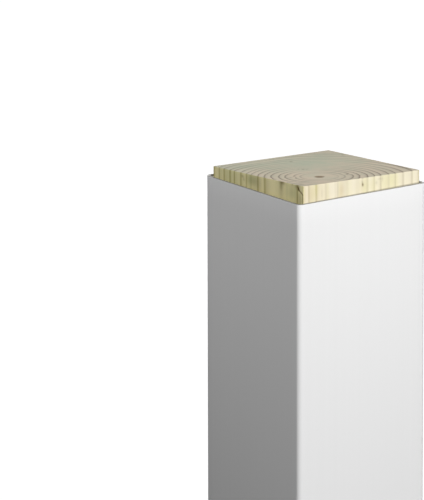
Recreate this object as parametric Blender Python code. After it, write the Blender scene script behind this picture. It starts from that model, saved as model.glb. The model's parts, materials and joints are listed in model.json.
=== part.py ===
"""A square porch column wrap, standing over the timber post that it covers.

The wrap is one hollow vinyl extrusion, open at both ends. The post is nominal 6 x 6 in treated pine, planed square,
and its sawn top stands a little proud of the wrap. Both stand on the floor.

Metres, +Z up. The origin is the middle of the foot. X and Y run square to the wrap's four faces.
"""

import math

import bmesh
import bpy
from mathutils import Matrix

MM = 0.001

# Timber post
POST_WIDTH = 139.7 * MM
POST_EASED_EDGE = 1.0 * MM  # radius of the four long edges, as planed
POST_PROUD = 10.5 * MM  # height of the sawn top above the wrap, at its middle
CUT_SLOPE_X = -1.95  # degrees that the saw cut climbs towards +X: it was sawn a little out of square
CUT_SLOPE_Y = -2.95  # degrees that it climbs towards +Y, so the corner at -X, -Y stands highest
POST_SAWN_BREAK = 0.3 * MM  # bevel of the edges that the saw left

# How the post stands in the wrap, which is loose on it
POST_SHIFT_X = 0.6 * MM
POST_SHIFT_Y = -0.4 * MM
POST_TURN = 1.25  # degrees, counter-clockwise from above

# Vinyl wrap
WRAP_LENGTH = 1455.0 * MM
WRAP_WALL = 2.0 * MM
WRAP_CORNER_RADIUS = 5.0 * MM  # outside
WRAP_INNER_RADIUS = 3.0 * MM  # inside, which keeps the wall even round the corner
WRAP_RIM_BREAK = 0.3 * MM  # bevel of the cut ends
FIT_GAP = 3.05 * MM  # between the wrap's inner face and a post in its middle, on each side

ARC_STEPS = 10  # flats along each rounded corner
SHARP_ANGLE = math.radians(40)  # edges sharper than this stay crisp

# What follows from them
WRAP_INNER_WIDTH = POST_WIDTH + 2 * FIT_GAP
WRAP_OUTER_WIDTH = WRAP_INNER_WIDTH + 2 * WRAP_WALL


def clear_scene():
    for thing in list(bpy.data.objects):
        bpy.data.objects.remove(thing)


def make_material(name, colour, roughness):
    material = bpy.data.materials.new(name)
    material.use_nodes = True
    shader = material.node_tree.nodes["Principled BSDF"]
    shader.inputs["Base Color"].default_value = (*colour, 1.0)
    shader.inputs["Roughness"].default_value = roughness
    shader.inputs["Metallic"].default_value = 0.0
    return material


def rounded_square(width, radius):
    """Corner points of a square with round corners, counter-clockwise from above, about the origin."""
    centre = width / 2 - radius
    points = []
    for quarter in range(4):
        middle = math.radians(45 + 90 * quarter)
        centre_x = math.copysign(centre, math.cos(middle))
        centre_y = math.copysign(centre, math.sin(middle))
        for step in range(ARC_STEPS + 1):
            angle = math.radians(90 * quarter + 90 * step / ARC_STEPS)
            points.append((centre_x + radius * math.cos(angle), centre_y + radius * math.sin(angle)))
    return points


def add_loop(bm, outline, height):
    """A closed ring of edges through the outline's points, at that height."""
    corners = [bm.verts.new((x, y, height)) for x, y in outline]
    return [bm.edges.new((a, b)) for a, b in zip(corners, corners[1:] + corners[:1])]


def extrude_up(bm, length):
    """Extrudes every face at the foot into a solid that tall."""
    made = bmesh.ops.extrude_face_region(bm, geom=list(bm.faces), use_keep_orig=True)
    raised = [item for item in made["geom"] if isinstance(item, bmesh.types.BMVert)]
    bmesh.ops.translate(bm, verts=raised, vec=(0, 0, length))


def finish_piece(bm, name, material, edge_break):
    """Makes the mesh an object with a small bevel along its cut ends, shaded smooth round its corners."""
    bmesh.ops.recalc_face_normals(bm, faces=list(bm.faces))
    mesh = bpy.data.meshes.new(name)
    bm.to_mesh(mesh)
    bm.free()
    mesh.shade_smooth()
    mesh.set_sharp_from_angle(angle=SHARP_ANGLE)
    mesh.materials.append(material)
    piece = bpy.data.objects.new(name, mesh)
    bpy.context.scene.collection.objects.link(piece)
    bevel = piece.modifiers.new("broken cut edges", "BEVEL")
    bevel.width = edge_break
    bevel.segments = 1
    bevel.limit_method = "ANGLE"
    bevel.angle_limit = SHARP_ANGLE
    return piece


def make_column_wrap(material):
    """The hollow extrusion: an outer and an inner outline, bridged at the foot and drawn up to full length."""
    bm = bmesh.new()
    outer = add_loop(bm, rounded_square(WRAP_OUTER_WIDTH, WRAP_CORNER_RADIUS), 0.0)
    inner = add_loop(bm, rounded_square(WRAP_INNER_WIDTH, WRAP_INNER_RADIUS), 0.0)
    bmesh.ops.bridge_loops(bm, edges=outer + inner)
    extrude_up(bm, WRAP_LENGTH)
    return finish_piece(bm, "column_wrap", material, WRAP_RIM_BREAK)


def make_timber_post(material):
    """The solid post: one outline drawn up, its top on the plane of the saw cut, set a little askew in the wrap."""
    bm = bmesh.new()
    outline = add_loop(bm, rounded_square(POST_WIDTH, POST_EASED_EDGE), 0.0)
    bmesh.ops.contextual_create(bm, geom=outline)
    extrude_up(bm, WRAP_LENGTH + POST_PROUD)
    askew = Matrix.Translation((POST_SHIFT_X, POST_SHIFT_Y, 0)) @ Matrix.Rotation(math.radians(POST_TURN), 4, "Z")
    bm.transform(askew)
    slope_x = math.tan(math.radians(CUT_SLOPE_X))
    slope_y = math.tan(math.radians(CUT_SLOPE_Y))
    for corner in bm.verts:
        if corner.co.z > 0:
            corner.co.z += slope_x * corner.co.x + slope_y * corner.co.y
    return finish_piece(bm, "timber_post", material, POST_SAWN_BREAK)


def main():
    clear_scene()
    white_vinyl = make_material("white vinyl", (0.86, 0.86, 0.86), 0.4)
    treated_pine = make_material("treated pine", (0.72, 0.65, 0.43), 0.75)
    column = bpy.data.objects.new("column", None)
    bpy.context.scene.collection.objects.link(column)
    for piece in (make_column_wrap(white_vinyl), make_timber_post(treated_pine)):
        piece.parent = column


main()
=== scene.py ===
# A white vinyl porch column wrap, with the treated pine post that it covers standing just above its rim.
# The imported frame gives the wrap's width and length and the post's foot and sawn head. The sizes that it
# can't tell, such as the wall and the corners, repeat those of the solids. Metres, unless a name ends in Mm.
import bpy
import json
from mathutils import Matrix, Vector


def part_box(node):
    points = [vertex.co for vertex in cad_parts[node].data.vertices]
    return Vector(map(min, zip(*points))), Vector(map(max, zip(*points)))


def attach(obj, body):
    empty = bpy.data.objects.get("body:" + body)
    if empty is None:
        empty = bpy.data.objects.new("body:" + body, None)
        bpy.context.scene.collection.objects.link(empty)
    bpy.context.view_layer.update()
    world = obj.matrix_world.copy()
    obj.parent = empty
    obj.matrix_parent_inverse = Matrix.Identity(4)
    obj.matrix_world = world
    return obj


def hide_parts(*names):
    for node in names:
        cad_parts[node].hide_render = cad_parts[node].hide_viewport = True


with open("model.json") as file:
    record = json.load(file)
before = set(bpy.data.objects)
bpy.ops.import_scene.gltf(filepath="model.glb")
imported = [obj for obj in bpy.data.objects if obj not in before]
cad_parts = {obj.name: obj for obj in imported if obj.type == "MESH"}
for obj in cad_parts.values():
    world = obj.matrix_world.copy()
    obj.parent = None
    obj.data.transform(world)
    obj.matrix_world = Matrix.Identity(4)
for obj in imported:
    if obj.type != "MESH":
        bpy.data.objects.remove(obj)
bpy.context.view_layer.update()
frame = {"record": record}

import json
import math

import bpy
import numpy as np
from mathutils import Euler, Matrix, Vector

mm = 0.001


# Helpers for meshes and materials

def linearColour(code):
    # an sRGB hex colour turned to linear light, with full alpha
    shares = [int(code[place:place + 2], 16) / 255 for place in (1, 3, 5)]
    light = [share / 12.92 if share <= 0.04045 else ((share + 0.055) / 1.055) ** 2.4 for share in shares]
    return (*light, 1.0)


def pickSocket(sockets, name=None):
    # the socket in use with that name or number, or else the first in use
    if isinstance(name, int):
        return sockets[name]
    return next(socket for socket in sockets if socket.enabled and name in (None, socket.name))


def addNode(tree, kind, settings=None, links=None):
    # a shader node with its choices and socket values, and what feeds its sockets: a node, or an output
    node = tree.nodes.new("ShaderNode" + kind)
    for name, value in (settings or {}).items():
        if isinstance(name, str) and hasattr(node, name):
            setattr(node, name, value)
        else:
            pickSocket(node.inputs, name).default_value = value
    for name, source in (links or {}).items():
        output = source if isinstance(source, bpy.types.NodeSocket) else pickSocket(source.outputs)
        tree.links.new(output, pickSocket(node.inputs, name))
    return node


def startMaterial(name):
    # a new material, its nodes and its shader
    material = bpy.data.materials.new(name)
    material.use_nodes = True
    return material, material.node_tree, material.node_tree.nodes["Principled BSDF"]


def gridPiece(name, points, firstPole=None, lastPole=None):
    # A skin over a grid of points: rows run along the piece and each row closes round it.
    # A pole is one point that closes an open end with a fan; without poles the last row joins the first.
    rows, columns = points.shape[:2]
    index = np.arange(rows * columns).reshape(rows, columns)
    if firstPole is None:
        index = np.vstack([index, index[:1]])
    near, far = index[:-1], index[1:]
    quads = np.stack([near, np.roll(near, -1, 1), np.roll(far, -1, 1), far], -1).reshape(-1, 4)
    corners = list(points.reshape(-1, 3))
    faces = quads.tolist()
    for pole, ring in ((firstPole, index[0][::-1]), (lastPole, index[-1])):
        if pole is not None:
            fan = np.stack([ring, np.roll(ring, -1), np.full(columns, len(corners))], -1)
            corners.append(pole)
            faces += fan.tolist()
    mesh = bpy.data.meshes.new(name)
    mesh.from_pydata(np.array(corners).tolist(), [], faces)
    mesh.shade_smooth()
    piece = bpy.data.objects.new(name, mesh)
    bpy.context.scene.collection.objects.link(piece)
    return piece


def roundedSquare(half, radius, arcSteps, sideSteps):
    # Each quarter is an arc about its corner centre, then a straight run to the next arc: the centre
    # stands at half less radius from both axes, the angle runs through 90 degrees, and the run is twice
    # that distance. Returns x, y and the outward direction, counter-clockwise from above, starting at the
    # corner +X, +Y.
    centre = half - radius
    quarters = []
    for quarter, steps in enumerate(sideSteps):
        angle = np.concatenate([np.linspace(0, math.pi / 2, arcSteps + 1), np.full(steps - 1, math.pi / 2)])
        slide = np.concatenate([np.zeros(arcSteps + 1), np.linspace(0, 1, steps + 1)[1:-1]])
        outX, outY = np.cos(angle), np.sin(angle)
        x = centre + radius * outX - 2 * centre * slide
        y = centre + radius * outY
        cosine, sine = math.cos(quarter * math.pi / 2), math.sin(quarter * math.pi / 2)
        quarters.append(np.stack([x * cosine - y * sine, x * sine + y * cosine,
                                  outX * cosine - outY * sine, outX * sine + outY * cosine]))
    return np.concatenate(quarters, 1)


# The wrap

wrapValues = {
    # shape
    "wallMm": 2.0,
    "cornerRadiusMm": 5.0,
    "rimRadiusMm": 0.45,  # sawn ends, lightly deburred
    "bowMm": 0.12,  # how far each face draws in at its middle as the extrusion cools
    "waveMm": 0.05,  # slow ripple down each face
    "waveLengthMm": 310,
    "arcSteps": 12,
    "sideSteps": (26, 26, 26, 26),
    "heightSteps": 70,
    "rimSteps": 4,
    # surface
    "white": "#DEDEDE",
    "whiter": "#E1E1E1",  # along the die lines
    # painted shade: the rim's grey is mostly the shade beside the post, partly the duller cut
    "sawnRimAndShade": "#85837D",
    "streakMm": 5.0,  # spacing of the faint die lines
    "streakStretch": 0.004,  # how slowly they change along the wrap
    "peelMm": 2.2,  # grain of the skin's slight orange peel, drawn coarser than real so that it shows
    "reliefMm": 0.2,
    "streakRelief": 0.05,
    "peelRelief": 0.04,
    "roughness": 0.42,
    "roughnessSpread": 0.03,
    "ior": 1.53,
}


def wrapSurface(values, low, high):
    # Round the outline one way and round the wall's section the other. The section goes up the outside,
    # over the rim, down the inside and back under the foot; at each of its points the outline is the
    # rounded square drawn in by that point's depth in the wall. The faces draw in by a bow, widest at
    # mid-face, and a slow sine down them.
    half, foot, rim = high[0], low[2], high[2]
    wall, edge = values["wallMm"] * mm, values["rimRadiusMm"] * mm
    turn = np.linspace(0, math.pi / 2, values["rimSteps"] + 1)
    rising, levelling = edge * (1 - np.cos(turn)), edge * (1 - np.sin(turn))
    heights = np.linspace(foot + edge, rim - edge, values["heightSteps"] + 1)
    depth = np.concatenate([levelling, 0 * heights[1:-1], rising,
                            wall - levelling, wall + 0 * heights[1:-1], wall - rising])
    level = np.concatenate([foot + rising, heights[1:-1], rim - levelling,
                            rim - rising, heights[-2:0:-1], foot + levelling])
    radius = values["cornerRadiusMm"] * mm
    x, y, outX, outY = roundedSquare(half, radius, values["arcSteps"], values["sideSteps"])
    across = np.minimum(np.abs(x), np.abs(y)) / half
    onFace = np.maximum(np.abs(outX), np.abs(outY)) > 0.999
    bow = values["bowMm"] * mm * (1 - across ** 2) * onFace
    ripple = 0.5 - 0.5 * np.cos(2 * math.pi * (rim - level) / (values["waveLengthMm"] * mm))
    inward = depth[:, None] + bow[None] * (1 + values["waveMm"] / values["bowMm"] * ripple[:, None])
    return np.stack([x - outX * inward, y - outY * inward, level[:, None] + 0 * x], -1)


def makeVinyl(values):
    # Extruded PVC: an even, slightly waxy white with a soft sheen. The die leaves hardly visible lines
    # along it, and the skin a little orange peel, so the highlight is broad and a touch uneven. The sawn
    # rim is darker and greyer: partly its duller cut, mostly painted shade beside the post.
    material, tree, shader = startMaterial("extruded white PVC")
    coordinates = addNode(tree, "TexCoord")
    place = coordinates.outputs["Object"]
    drawn = addNode(tree, "Mapping", {"Scale": (1, 1, values["streakStretch"])}, {"Vector": place})
    dieLines = addNode(tree, "TexNoise", {"Scale": 1 / (values["streakMm"] * mm), "Detail": 3},
                       {"Vector": drawn})
    peel = addNode(tree, "TexNoise", {"Scale": 1 / (values["peelMm"] * mm), "Detail": 1}, {"Vector": place})
    glossy, dull = (values["roughness"] + side * values["roughnessSpread"] for side in (-1, 1))
    gloss = addNode(tree, "MapRange", {"To Min": glossy, "To Max": dull}, {"Value": dieLines})
    skinColour = addNode(tree, "Mix", {"data_type": "RGBA", "A": linearColour(values["white"]),
                                       "B": linearColour(values["whiter"])}, {"Factor": dieLines})
    upright = addNode(tree, "SeparateXYZ", None, {"Vector": coordinates.outputs["Normal"]})
    # painted shade: the rim's flat top takes the darker grey below
    onRim = addNode(tree, "MapRange", {"From Min": 0.1, "From Max": 0.5}, {"Value": upright.outputs["Z"]})
    shade = addNode(tree, "Mix", {"data_type": "RGBA", "B": linearColour(values["sawnRimAndShade"])},
                    {"Factor": onRim, "A": skinColour})
    lines = addNode(tree, "Bump", {"Strength": values["streakRelief"], "Distance": values["reliefMm"] * mm},
                    {"Height": dieLines})
    skin = addNode(tree, "Bump", {"Strength": values["peelRelief"], "Distance": values["reliefMm"] * mm},
                   {"Height": peel, "Normal": lines})
    shader.inputs["IOR"].default_value = values["ior"]
    tree.links.new(pickSocket(shade.outputs), shader.inputs["Base Color"])
    tree.links.new(pickSocket(gloss.outputs), shader.inputs["Roughness"])
    tree.links.new(pickSocket(skin.outputs), shader.inputs["Normal"])
    return material


print("wrap")
wrapLow, wrapHigh = (np.array(corner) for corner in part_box("column_wrap"))
wrap = gridPiece("vinyl_wrap", wrapSurface(wrapValues, wrapLow, wrapHigh))
wrap.data.materials.append(makeVinyl(wrapValues))
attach(wrap, "root")
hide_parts("column_wrap")


# The post

postValues = {
    # shape
    "widthMm": 139.7,
    "cornerRadiusMm": 1.0,
    "shiftMm": (0.6, -0.4),  # how the post stands in the loose wrap
    "turnDegrees": 1.25,
    "sawnEdgeMm": 0.5,  # rounding where the saw cut meets the sides
    "sawnEdgeSteps": 4,
    "arcSteps": 6,
    "sideSteps": (80, 210, 210, 80),  # +Y, -X, -Y and +X sides; the two in front carry painted marks
    "topSteps": 84,
    "topPower": 0.8,  # below 1, the rows on the top crowd towards its edges
    "fineSteps": 36,  # rows just below the top, each this share of the height further down
    "fineShare": 0.00045,
    "coarseSteps": 22,
    "coarsePower": 2.2,  # above 1, the remaining rows crowd towards the top

    # the pith, where the rings' middle comes out of the sawn top
    "pithMm": (-24.5, -38.9),
    "pithRadiusMm": 4.9,
    "pithDepthMm": 0.7,
    "pithFadeMm": (0.8, -1.2),  # its brown comes in from so far outside its radius to so far inside

    # the split arris at the front corner: along the left side from its middle, and down from the top
    "splitMm": ((-61.5, 2.0), (-62.2, 4.0), (-63.4, 5.4), (-65.2, 6.6), (-67.0, 7.6), (-68.4, 8.8),
                (-68.5, 40.0)),
    "splitWidthMm": 0.5,
    "splitDepthMm": 0.8,
    "splitEndMm": 34,  # it runs out here, over the fade
    "splitFadeMm": 10,
    # painted shade in the crack, on top of its groove
    "splitShade": 1.0,
    "chipMm": (-67.5, 2.5, 3.2, 3.4),  # along, down and half sizes of the chip beside it
    "chipDepthMm": 0.35,
    "intoWood": (0.9, 0.15),  # the way both go in, X and Y

    # Marks, each a soft ellipse: along the side or across the top, down it, half sizes, strength. Sides
    # count along from their middle and down from the top; the top counts in X and Y. The four kinds are
    # painted in the vertex colour's red, green, blue and alpha: dark stains and knots, green tint, tan or
    # (below 0) pale, faint rings. The red also carries the split's painted shade.
    "marks": {
        "dark": {
            "left": ((-37.2, 0.8, 4.2, 2.0, 0.6), (-35.6, 4.5, 2.2, 3.2, 0.3), (-52.9, 0.4, 1.6, 1.4, 0.3),
                     (24.0, 3.4, 2.2, 1.3, 0.35), (22.0, 6.2, 1.5, 1.6, 0.25), (-60.2, 1.6, 3.2, 2.0, 0.5),
                     (-62.2, 4.2, 1.5, 1.5, 0.8), (-60.6, 12, 0.75, 9, 0.45), (69.7, 5, 0.8, 14, 0.4),
                     (-36.0, 8, 2.2, 9, 0.22), (-39, 8, 6, 14, 0.1), (-31.5, 8, 3, 12, 0.08),
                     (-52, 8, 3, 12, 0.14), (-64.6, 13, 2.6, 9, 0.32), (-14.5, 8, 4, 14, 0.14),
                     (-4, 8, 3, 12, 0.12), (1.5, 7, 5, 12, 0.17), (9.5, 5.5, 8, 6, 0.2)),
            "right": ((1.1, 6.6, 0.9, 1.5, 1.0), (0.5, 4.0, 0.7, 2.2, 0.35), (-47.8, 9.5, 0.6, 5, 0.16),
                      (-28.8, 8, 0.6, 14, 0.25), (17.5, 6.5, 1.5, 1.6, 0.18), (24.8, 3.5, 0.7, 3.0, 0.2),
                      (1.0, 0.2, 1.2, 0.7, 0.35), (21.8, 3.2, 2.6, 0.8, 0.16)),
            "top": ((-13.5, 1.5, 1.4, 1.2, 0.8), (-16.5, 5.0, 1.2, 1.2, 0.6), (-10.5, -0.5, 1.2, 1.0, 0.6),
                    (2.4, 42.0, 1.4, 1.4, 0.75), (63.4, 41.0, 1.6, 1.4, 0.6), (68.4, -46, 1.3, 13, 0.8),
                    (-63.5, -62.5, 3.0, 2.4, 0.3)),
        },
        "green": {
            "left": ((8.7, 5.0, 9, 6, 0.6), (-53.4, 9, 7, 7, 0.45), (31, 8, 12, 12, 0.35),
                     (48.1, 6, 12, 12, 0.4)),
            "right": ((-54.8, 3, 2.4, 9, 0.55), (-58.4, 8, 3.5, 9, 0.25), (33.4, 6, 12, 12, 0.45),
                      (5.2, 8, 9, 9, 0.35)),
            "top": ((10, 30, 60, 42, 0.5), (-60, 55, 26, 20, 0.3)),
        },
        "tan": {
            "left": ((-65.2, 4.0, 2.6, 3.4, -0.5), (-22.9, 8, 9, 12, -0.3), (31.4, 8, 3, 12, -0.25)),
            "right": ((-24.4, 9, 3.3, 9, 0.6), (-68.6, 9, 1.4, 14, 0.4), (-62.0, 8, 7, 14, 0.4),
                      (-49, 8, 11, 16, 0.25), (0, 8, 2.5, 9, 0.25)),
            "top": ((-27, -38, 12, 10, 0.35), (19, -41, 40, 26, 0.35)),
        },
        "faint": {
            "left": ((-37, 8, 18, 22, 0.95), (-24, 8, 6, 22, 0.5), (-47, 8, 7, 22, 0.5),
                     (10, 8, 3, 22, 0.6)),
            "right": ((-25.9, 8, 10, 22, 0.9), (-45, 8, 2.5, 22, 0.65), (-4.5, 8, 2.5, 22, 0.75),
                      (7.2, 8, 2.5, 22, 0.3), (16.2, 8, 2.5, 22, 0.35), (33, 8, 2.5, 22, 0.4)),
            "top": ((18, 20, 52, 42, 0.85), (-18, -10, 20, 14, 0.5), (-38, 64, 34, 22, 0.5),
                    (-38, -62, 22, 8, 0.7), (-9, -50, 9, 9, 0.55)),
        },
    },

    # dark late wood lines: distance from the pith, and strength
    "rings": ((10, 0.0), (18.2, 0.5), (24.2, 0.9), (32.4, 1.0), (38.3, 1.0), (45.8, 1.0), (52.2, 0.95),
              (58.4, 0.95), (65.5, 0.8), (71.1, 0.8), (78.2, 0.85), (86.5, 1.0), (92.2, 1.0), (101.2, 1.0),
              (107.7, 0.9), (114.6, 1.0), (121, 0.6), (128, 0.6), (135, 0.6), (143, 0.6)),
    "reachMm": 150,  # the rings are counted this far out, and end at this strength
    "lastStrength": 0.5,
    # late wood through one ring, from 1 at its start to 1 at its end: share of the way, amount
    "ringProfile": ((0.09, 0.6), (0.15, 0.0), (0.5, 0.03), (0.8, 0.2), (0.92, 0.75)),
    "wideMm": 60,  # beyond this the rings are wider towards +X, where the tree grew faster
    "wideShare": 0.19,
    "wideTurnMm": 25,  # half width of the band about X = 0 where that sets in
    "wobbleMm": 0.9,  # long bends in the rings
    "wobbleLengthMm": 13,
    "jitterMm": 0.5,  # short ones
    "jitterLengthMm": 4.5,
    "bendStretch": 0.1,  # how slowly both change along the post
    # what draws the rings in towards the pith, two small knots and a broad dip: X, Y, radius, how far
    "knots": ((-47.0, -27.0, 6.0, 5.0), (3.2, -45.3, 6.5, 4.0), (-60.0, -66.0, 40.0, 3.0)),

    # patterns over the wood
    "patchMm": 16,  # green and beige patches on the sawn end
    "patchShare": (0.8, -0.3),  # their strength, and what is taken off
    "fibreMm": 6,  # streaks of tint on the planed sides
    "fibreStretch": 0.05,
    "fibreShare": (0.42, 0.75, 0.35),  # where in the noise they start and are full, and how strong they are
    "speckMm": 1.3,  # the saw's roughness, coarser than real so that it shows
    "speckRelief": 0.4,  # against the late wood's
    "relief": 0.35,
    "reliefMm": 0.2,
    "roughness": 0.8,
    "specular": 0.25,
    "paintedGapShade": (0.6, 0.97),  # painted shade: light left on the wood below the rim, in the gap's shade: right side, then left
    "insideFadeMm": (-0.5, 0.2),  # where that begins, from the rim's level

    "colours": {
        "beigeTop": "#D2C4AD",
        "greenTop": "#ABB9A1",
        "pithBrown": "#8B785D",
        "cream": "#E0D8C2",
        "creamGreen": "#D5D09C",
        "creamTan": "#C9B992",
        # painted light: the olive three are the -X side's copy of the side colours, brighter and yellower
        # for its shade
        "olive": "#EFE5B2",
        "oliveGreen": "#C2C28E",
        "olivePale": "#F4E9BB",
        "lateTop": "#ABA4A0",  # what late wood leaves of the light, on the end and on the two sides; the side pair is painted light: fainter lines on the lit -Y side
        "lateShadedSide": "#C8C4AA",
        "lateLitSide": "#E4E1D9",
        "markBrown": "#7B6F58",  # what a full dark mark leaves of it: stains, and painted shade in the split
    },
}


def cutLevel(x, y, head, slope):
    # the saw cut is a plane: its level on the axis, plus each slope times its own coordinate
    return head + slope[0] * x + slope[1] * y


def postSurface(values, foot, head, slope):
    # The sawn top spreads from the pith to the outline, so a point is the pith plus a share of the way to
    # the edge. A quarter round carries it over, and the sides then drop straight to the foot: each height
    # is a share of the way down, closely spaced near the top. The whole is turned and shifted to stand
    # askew in the wrap. Returns the points, how far each is below the cut, and each column's place on the
    # square post, both in mm.
    half, radius = values["widthMm"] / 2 * mm, values["cornerRadiusMm"] * mm
    edge, shift = values["sawnEdgeMm"] * mm, np.array(values["shiftMm"]) * mm
    turned = math.radians(values["turnDegrees"])
    spin = np.array([[math.cos(turned), -math.sin(turned)], [math.sin(turned), math.cos(turned)]])
    ownX, ownY, ownOutX, ownOutY = roundedSquare(half, radius, values["arcSteps"], values["sideSteps"])
    x, y = spin @ np.stack([ownX, ownY]) + shift[:, None]
    outX, outY = spin @ np.stack([ownOutX, ownOutY])

    pithX, pithY = np.array(values["pithMm"]) * mm
    reach = np.linspace(0, 1, values["topSteps"] + 1)[1:, None] ** values["topPower"]
    topX = pithX + reach * (x - outX * edge - pithX)
    topY = pithY + reach * (y - outY * edge - pithY)
    top = np.stack([topX, topY, cutLevel(topX, topY, head, slope)], -1)

    turn = np.linspace(0, math.pi / 2, values["sawnEdgeSteps"] + 1)[1:, None]
    inset = edge * (1 - np.sin(turn))
    drop = edge * (1 - np.cos(turn))
    rounding = np.stack([x - outX * inset, y - outY * inset, cutLevel(x, y, head, slope) - drop], -1)

    fine = np.arange(1, values["fineSteps"] + 1) * values["fineShare"]
    coarse = np.linspace(0, 1, values["coarseSteps"] + 1)[1:] ** values["coarsePower"]
    share = np.concatenate([fine, fine[-1] + (1 - fine[-1]) * coarse])[:, None]
    sideTop = cutLevel(x, y, head, slope) - edge
    side = np.stack([x + 0 * share, y + 0 * share, sideTop + share * (foot - sideTop)], -1)

    points = np.concatenate([top, rounding, side])
    down = cutLevel(points[..., 0], points[..., 1], head, slope) - points[..., 2]
    return points, down / mm, ownX / mm, ownY / mm


def wearPost(values, points, down, ownX, ownY):
    # The split is a groove as deep as a bell curve of the distance from its line, the chip a bell over an
    # ellipse, and the pith a bell of the distance's fourth power, which gives it a flat floor. A mark is a
    # bell over its ellipse, and the marks of one kind add up. Sinks the points, and returns the marks.
    row = np.arange(len(points))[:, None]
    onTop = row < values["topSteps"]
    half, nearMm = values["widthMm"] / 2, 2.2  # a side takes in the eased corners at its ends
    onLeft = (ownX + half < nearMm) & ~onTop
    onRight = (ownY + half < nearMm) & ~onTop

    line = np.array(values["splitMm"])
    start = line[:-1, None, None]
    run = np.diff(line, axis=0)[:, None, None]
    spot = np.stack([ownY + 0 * down, down], -1)[None]
    part = np.clip(((spot - start) * run).sum(-1) / (run ** 2).sum(-1), 0, 1)
    away = np.linalg.norm(spot - start - part[..., None] * run, axis=-1).min(0)
    fade = np.clip((values["splitEndMm"] - down) / values["splitFadeMm"], 0, 1)
    split = np.exp(-(away / values["splitWidthMm"]) ** 2) * onLeft * fade
    chipAlong, chipDown, chipWide, chipTall = values["chipMm"]
    chip = np.exp(-((ownY - chipAlong) / chipWide) ** 2 - ((down - chipDown) / chipTall) ** 2) * onLeft
    sink = (values["splitDepthMm"] * split + values["chipDepthMm"] * chip) * mm
    points[..., :2] += sink[..., None] * np.array(values["intoWood"])

    fromPith = np.linalg.norm(points[..., :2] / mm - values["pithMm"], axis=-1)
    hollow = np.exp(-(fromPith / values["pithRadiusMm"]) ** 4) * onTop
    points[..., 2] -= values["pithDepthMm"] * mm * hollow

    marks = np.zeros((*down.shape, 4))
    # painted shade: the split's groove is darkened as well
    marks[..., 0] = values["splitShade"] * split
    nearTop = row < values["topSteps"] + 3  # and the upper half of the sawn edge's rounding
    spots = {"left": (ownY, down, onLeft), "right": (ownX, down, onRight),
             "top": (points[..., 0] / mm, points[..., 1] / mm, nearTop)}
    for channel, faces in enumerate(values["marks"].values()):
        for face, ellipses in faces.items():
            first, second, here = spots[face]
            for middle, level, wide, tall, strength in ellipses:
                bell = np.exp(-((first - middle) / wide) ** 2 - ((second - level) / tall) ** 2)
                marks[..., channel] += strength * bell * here
    return marks


def pineRings(tree, values, place, acrossX, faint):
    # Late wood goes by the distance from the pith. Two noises that hardly change along the post bend that
    # distance, rings far out are wider towards +X, and each knot adds a bulge to it, which draws them in.
    # One curve turns the distance into a count of rings, and what is left over a whole ring says how far
    # through it a point is. Returns the distance and the share of late wood.
    drawn = (1, 1, values["bendStretch"])
    along = addNode(tree, "VectorMath", {"operation": "MULTIPLY", 1: drawn}, {0: place})
    bent = place
    for name, detail in (("wobble", 2), ("jitter", 1)):
        noise = addNode(tree, "TexNoise", {"Scale": 1 / values[name + "LengthMm"], "Detail": detail},
                        {"Vector": along})
        most = values[name + "Mm"]
        twice, back = (2 * most,) * 3, (-most,) * 3
        push = addNode(tree, "VectorMath", {"operation": "MULTIPLY_ADD", 1: twice, 2: back},
                       {0: noise.outputs["Color"]})
        bent = addNode(tree, "VectorMath", {"operation": "ADD"}, {0: bent, 1: push})
    offPith = addNode(tree, "VectorMath", {"operation": "SUBTRACT", 1: (*values["pithMm"], 0)}, {0: bent})
    level = addNode(tree, "VectorMath", {"operation": "MULTIPLY", 1: (1, 1, 0)}, {0: offPith})
    away = addNode(tree, "VectorMath", {"operation": "LENGTH"}, {0: level})

    beyond = addNode(tree, "Math", {"operation": "SUBTRACT", 1: values["wideMm"]}, {0: away})
    outer = addNode(tree, "Math", {"operation": "MAXIMUM", 1: 0}, {0: beyond})
    turnMm, wideShare = values["wideTurnMm"], values["wideShare"]
    wider = addNode(tree, "MapRange", {"interpolation_type": "SMOOTHSTEP", "From Min": -turnMm,
                                       "From Max": turnMm, "To Max": -wideShare}, {"Value": acrossX})
    distance = addNode(tree, "Math", {"operation": "MULTIPLY_ADD"}, {0: outer, 1: wider, 2: away})
    floor = addNode(tree, "VectorMath", {"operation": "MULTIPLY", 1: (1, 1, 0)}, {0: bent})
    for x, y, radius, most in values["knots"]:
        near = addNode(tree, "VectorMath", {"operation": "DISTANCE", 1: (x, y, 0)}, {0: floor})
        bulge = addNode(tree, "MapRange", {"interpolation_type": "SMOOTHERSTEP", "From Min": radius,
                                           "From Max": 0, "To Max": most}, {"Value": near})
        distance = addNode(tree, "Math", {"operation": "ADD"}, {0: distance, 1: bulge})

    share = addNode(tree, "Math", {"operation": "DIVIDE", 1: values["reachMm"]}, {0: distance})
    last = len(values["rings"]) + 1
    counts, strengths = [(0, 0)], [(0, 0)]
    for number, (radius, strength) in enumerate(values["rings"], 1):
        counts.append((radius / values["reachMm"], number / last))
        strengths.append((radius / values["reachMm"], strength))
    counted = addNode(tree, "FloatCurve", None, {"Value": share})
    weight = addNode(tree, "FloatCurve", None, {"Value": share})
    for node, spots, end in ((counted, counts, 1), (weight, strengths, values["lastStrength"])):
        points = node.mapping.curves[0].points
        points[0].location = spots[0]
        points[1].location = (1, end)
        for spot in spots[1:]:
            points.new(*spot)
        for point in points:
            point.handle_type = "VECTOR"
        node.mapping.update()

    rings = addNode(tree, "Math", {"operation": "MULTIPLY", 1: last}, {0: counted})
    through = addNode(tree, "Math", {"operation": "FRACT"}, {0: rings})
    profile = addNode(tree, "ValToRGB", None, {"Fac": through})
    for end in profile.color_ramp.elements:
        end.color = (1, 1, 1, 1)
    for position, value in values["ringProfile"]:
        profile.color_ramp.elements.new(position).color = (value, value, value, 1)
    full = addNode(tree, "Math", {"operation": "MULTIPLY"}, {0: profile, 1: weight})
    seen = addNode(tree, "Math", {"operation": "SUBTRACT", 0: 1.0, "use_clamp": True}, {1: faint})
    return away, addNode(tree, "Math", {"operation": "MULTIPLY"}, {0: full, 1: seen})


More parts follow.
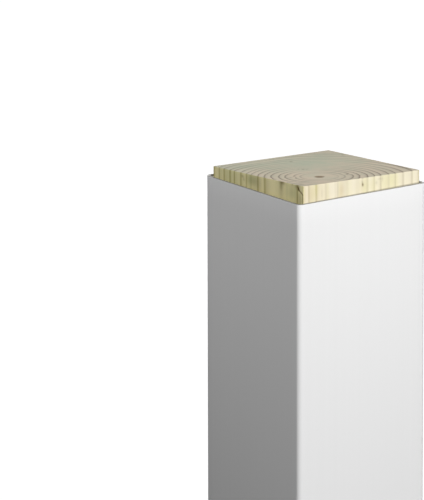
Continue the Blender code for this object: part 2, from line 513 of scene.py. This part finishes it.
def makePine(values, rimMm):
    # Southern pine, planed on its sides and sawn across its top, pressure treated. The eye sees one set
    # of rings: arcs of dark late wood on the sawn end that run on down the sides as lines, over cream
    # sapwood with a green tint.
    material, tree, shader = startMaterial("treated pine, planed and sawn")
    colours = {name: linearColour(code) for name, code in values["colours"].items()}
    coordinates = addNode(tree, "TexCoord")
    place = addNode(tree, "VectorMath", {"operation": "SCALE", "Scale": 1 / mm},
                    {0: coordinates.outputs["Object"]})
    spots = addNode(tree, "SeparateXYZ", None, {"Vector": place})
    painted = addNode(tree, "VertexColor", {"layer_name": "marks"})
    marks = addNode(tree, "SeparateColor", None, {"Color": painted})
    dark, green, tan = (marks.outputs[channel] for channel in ("Red", "Green", "Blue"))
    away, late = pineRings(tree, values, place, spots.outputs["X"], painted.outputs["Alpha"])

    # which face a point is on, by the way it faces
    facing = addNode(tree, "SeparateXYZ", None, {"Vector": coordinates.outputs["Normal"]})
    upright = addNode(tree, "Math", {"operation": "ABSOLUTE"}, {0: facing.outputs["Z"]})
    toLeft = facing.outputs["X"]
    onEnd = addNode(tree, "MapRange", {"From Min": 0.45, "From Max": 0.75}, {"Value": upright})
    onLeft = addNode(tree, "MapRange", {"From Min": -0.35, "From Max": -0.75}, {"Value": toLeft})

    # sawn end: beige near the pith, greyer and greener away from it
    mix = {"data_type": "RGBA"}
    gain, offset = values["patchShare"]
    patches = addNode(tree, "TexNoise", {"Scale": 1 / values["patchMm"], "Detail": 3}, {"Vector": place})
    mottle = addNode(tree, "Math", {"operation": "MULTIPLY_ADD", 1: gain, 2: offset}, {0: patches})
    tint = addNode(tree, "Math", {"operation": "ADD", "use_clamp": True}, {0: green, 1: mottle})
    sawn = addNode(tree, "Mix", mix | {"A": colours["beigeTop"], "B": colours["greenTop"]},
                   {"Factor": tint})
    outside, inside = (values["pithRadiusMm"] + fade for fade in values["pithFadeMm"])
    core = addNode(tree, "MapRange", {"From Min": outside, "From Max": inside}, {"Value": away})
    sawn = addNode(tree, "Mix", mix | {"B": colours["pithBrown"]}, {"Factor": core, "A": sawn})

    # planed sides: cream, tan where a band of darker sapwood comes out; the -X side has its own brighter,
    # yellower olive copy, painted light for that side's shade
    start, fullAt, most = values["fibreShare"]
    drawn = (1, 1, values["fibreStretch"])
    fibres = addNode(tree, "VectorMath", {"operation": "MULTIPLY", 1: drawn}, {0: place})
    streaks = addNode(tree, "TexNoise", {"Scale": 1 / values["fibreMm"], "Detail": 4}, {"Vector": fibres})
    streaked = addNode(tree, "MapRange", {"From Min": start, "From Max": fullAt, "To Max": most},
                       {"Value": streaks})
    tinted = addNode(tree, "Math", {"operation": "ADD", "use_clamp": True}, {0: green, 1: streaked})
    right = addNode(tree, "Mix", mix | {"A": colours["cream"], "B": colours["creamGreen"]},
                    {"Factor": tinted})
    right = addNode(tree, "Mix", mix | {"B": colours["creamTan"]}, {"Factor": tan, "A": right})
    pale = addNode(tree, "Math", {"operation": "MULTIPLY", 1: -1, "use_clamp": True}, {0: tan})
    left = addNode(tree, "Mix", mix | {"A": colours["olive"], "B": colours["oliveGreen"]},
                   {"Factor": tinted})
    left = addNode(tree, "Mix", mix | {"B": colours["olivePale"]}, {"Factor": pale, "A": left})
    planed = addNode(tree, "Mix", mix, {"Factor": onLeft, "A": right, "B": left})
    colour = addNode(tree, "Mix", mix, {"Factor": onEnd, "A": planed, "B": sawn})

    # late wood and marks take light away, and painted shade darkens the wood below the rim
    darken = {"data_type": "RGBA", "blend_type": "MULTIPLY"}
    # painted light: late wood lines are fainter on the lit -Y side than on the shaded -X side
    lateSide = addNode(tree, "Mix", mix | {"A": colours["lateLitSide"], "B": colours["lateShadedSide"]},
                       {"Factor": onLeft})
    lateShade = addNode(tree, "Mix", mix | {"B": colours["lateTop"]}, {"Factor": onEnd, "A": lateSide})
    ringed = addNode(tree, "Mix", darken, {"Factor": late, "A": colour, "B": lateShade})
    marked = addNode(tree, "Mix", darken | {"B": colours["markBrown"]}, {"Factor": dark, "A": ringed})
    # painted shade: the wood below the rim's level is darkened, more on the -Y side, for the gap's shade
    gapLightRight, gapLightLeft = values["paintedGapShade"]
    gapLight = addNode(tree, "MapRange", {"To Min": gapLightRight, "To Max": gapLightLeft}, {"Value": onLeft})
    inside, outside = (rimMm + fade for fade in values["insideFadeMm"])
    below = addNode(tree, "MapRange", {"interpolation_type": "SMOOTHSTEP", "From Min": inside,
                                       "From Max": outside, "To Max": 1},
                    {"Value": spots.outputs["Z"], "To Min": gapLight})
    shaded = addNode(tree, "VectorMath", {"operation": "SCALE"}, {0: marked, "Scale": below})

    # relief: late wood stands up a little, and the saw and planer leave it slightly rough
    speck = addNode(tree, "TexNoise", {"Scale": 1 / values["speckMm"], "Detail": 2}, {"Vector": place})
    height = addNode(tree, "Math", {"operation": "MULTIPLY_ADD", 1: values["speckRelief"]},
                     {0: speck, 2: late})
    bump = addNode(tree, "Bump", {"Strength": values["relief"], "Distance": values["reliefMm"] * mm},
                   {"Height": height})
    tree.links.new(pickSocket(shaded.outputs), shader.inputs["Base Color"])
    tree.links.new(pickSocket(bump.outputs), shader.inputs["Normal"])
    shader.inputs["Roughness"].default_value = values["roughness"]
    shader.inputs["Specular IOR Level"].default_value = values["specular"]
    return material


print("post")
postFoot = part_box("timber_post")[0][2]
headMount = next(mount for mount in frame["record"]["mounts"] if mount["name"] == "post_head")
headAxis, headLevel = headMount["axis"], headMount["pos_m"][2]
headSlope = (-headAxis[0] / headAxis[2], -headAxis[1] / headAxis[2])
postPoints, postDown, postOwnX, postOwnY = postSurface(postValues, postFoot, headLevel, headSlope)
postMarks = wearPost(postValues, postPoints, postDown, postOwnX, postOwnY)
pithX, pithY = np.array(postValues["pithMm"]) * mm
pithPoint = (pithX, pithY, cutLevel(pithX, pithY, headLevel, headSlope) - postValues["pithDepthMm"] * mm)
footPoint = (*(np.array(postValues["shiftMm"]) * mm), postFoot)
post = gridPiece("pine_post", postPoints, pithPoint, footPoint)
poleMarks = np.array([[0, 0, 0.35, 0], [0, 0, 0, 0]])  # a little tan at the pith, and none at the foot
markLayer = post.data.color_attributes.new("marks", "FLOAT_COLOR", "POINT")
markLayer.data.foreach_set("color", np.concatenate([postMarks.reshape(-1, 4), poleMarks]).ravel())
post.data.materials.append(makePine(postValues, wrapHigh[2] / mm))
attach(post, "root")
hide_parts("timber_post")


# Stage, light and camera

stageValues = {
    "hubRadius": 0.05,  # of the flat disc in the middle, from which the rings widen
    "flatRadius": 42.0,
    "curve": 6.0,
    "wall": 34.0,
    "turns": 96,
    "flatSteps": 24,
    "curveSteps": 12,
    "paper": "#A4A4A4",
    "glow": 0.86,
    "ambient": 0.121,  # light from all round
}


def sweepSurface(values):
    # A disc that curves up into a wall, turned about the column: radius and height follow a quarter
    # circle between.
    flat, curve = values["flatRadius"], values["curve"]
    turn = np.linspace(0, math.pi / 2, values["curveSteps"])[1:]
    radius = np.concatenate([np.geomspace(values["hubRadius"], flat, values["flatSteps"]),
                             flat + curve * np.sin(turn), [flat + curve]])
    height = np.concatenate([np.zeros(values["flatSteps"]), curve * (1 - np.cos(turn)), [values["wall"]]])
    radius, height = radius[:, None], height[:, None]
    angle = np.linspace(0, 2 * math.pi, values["turns"], endpoint=False)
    return np.stack([radius * np.cos(angle), radius * np.sin(angle), height + 0 * angle], -1)


def makePaper(values):
    # Lit white studio paper: it glows evenly by itself, and still takes a faint shadow.
    material, tree, shader = startMaterial("white studio paper")
    shader.inputs["Base Color"].default_value = linearColour(values["paper"])
    shader.inputs["Roughness"].default_value = 1.0
    shader.inputs["Specular IOR Level"].default_value = 0.0
    shader.inputs["Emission Color"].default_value = (1, 1, 1, 1)
    shader.inputs["Emission Strength"].default_value = values["glow"]
    return material


print("stage")
sweepPoints = sweepSurface(stageValues)
sweepIndex = np.arange(sweepPoints[..., 0].size).reshape(sweepPoints.shape[:2])
inner, outer = sweepIndex[:-1], sweepIndex[1:]
sweepQuads = np.stack([inner, np.roll(inner, -1, 1), np.roll(outer, -1, 1), outer], -1).reshape(-1, 4)
sweepMesh = bpy.data.meshes.new("paper_sweep")
sweepFaces = [sweepIndex[0].tolist()] + sweepQuads.tolist()  # a disc under the column, then ring after ring
sweepMesh.from_pydata(sweepPoints.reshape(-1, 3).tolist(), [], sweepFaces)
sweepMesh.materials.append(makePaper(stageValues))
sweep = bpy.data.objects.new("paper_sweep", sweepMesh)
bpy.context.scene.collection.objects.link(sweep)
sweep.visible_diffuse = False
sweep.visible_glossy = False
sweep.visible_shadow = False  # the lights stand outside it

print("light")
world = bpy.data.worlds.new("studio")
world.use_nodes = True
world.node_tree.nodes["Background"].inputs["Color"].default_value = (1, 1, 1, 1)
world.node_tree.nodes["Background"].inputs["Strength"].default_value = stageValues["ambient"]
bpy.context.scene.world = world

# The key is a broad soft window in front of the -Y faces. Two spots aim above the rim, one for each front
# face, so that their soft lower edges make both faces fade down from the top. The strip lifts the -X face
# towards the near corner. The back light only keeps the hidden sides from going flat.
lights = {
    "key": {"type": "SUN", "energy": 2.6, "from": (-0.07, -0.9, 0.40), "angle": 12},
    "headRight": {"type": "SPOT", "energy": 195.0, "at": (0.35, -2.70, 2.75), "aim": (0, 0, 1.53),
                  "radius": 0.35, "cone": 18},
    "headLeft": {"type": "SPOT", "energy": 153.0, "at": (-2.55, 0.95, 2.75), "aim": (0, 0.04, 1.53),
                 "radius": 0.35, "cone": 18},
    "strip": {"type": "AREA", "energy": 0.12, "at": (-0.28, -0.13, 0.85), "aim": (0, -0.03, 0.85),
              "size": (0.05, 1.7)},
    "back": {"type": "SUN", "energy": 1.2, "from": (0.55, 0.8, 0.12), "angle": 40},
}
for name, light in lights.items():
    data = bpy.data.lights.new(name, light["type"])
    data.energy = light["energy"]
    lamp = bpy.data.objects.new(name, data)
    bpy.context.scene.collection.objects.link(lamp)
    if light["type"] == "SUN":
        data.angle = math.radians(light["angle"])
        lamp.rotation_euler = Vector(light["from"]).to_track_quat("Z", "Y").to_euler()
        continue
    lamp.location = light["at"]
    lamp.rotation_euler = (Vector(light["at"]) - Vector(light["aim"])).to_track_quat("Z", "Y").to_euler()
    lamp.visible_camera = False
    if light["type"] == "SPOT":
        data.spot_size = math.radians(light["cone"])
        data.spot_blend = 1.0
        data.shadow_soft_size = light["radius"]
    else:
        data.shape = "RECTANGLE"
        data.size, data.size_y = light["size"]

print("camera")
cameraValues = {
    "place": (-4.4313, -5.9072, 3.2590),
    "azimuth": 36.112,
    "pitch": 14.238,
    "roll": -0.140,
    "lensMm": 576,  # long, as the photo's verticals hardly converge
}
camera = bpy.data.objects.new("camera", bpy.data.cameras.new("camera"))
bpy.context.scene.collection.objects.link(camera)
camera.data.lens = cameraValues["lensMm"]
camera.data.clip_end = 200
camera.location = cameraValues["place"]
pitch, roll, azimuth = (math.radians(cameraValues[name]) for name in ("pitch", "roll", "azimuth"))
aimed = Euler((math.pi / 2 - pitch, 0, -azimuth)).to_matrix()
camera.rotation_euler = (aimed @ Matrix.Rotation(roll, 3, "Z")).to_euler()
bpy.context.scene.camera = camera
bpy.context.scene.view_settings.view_transform = "Standard"

bpy.context.view_layer.update()
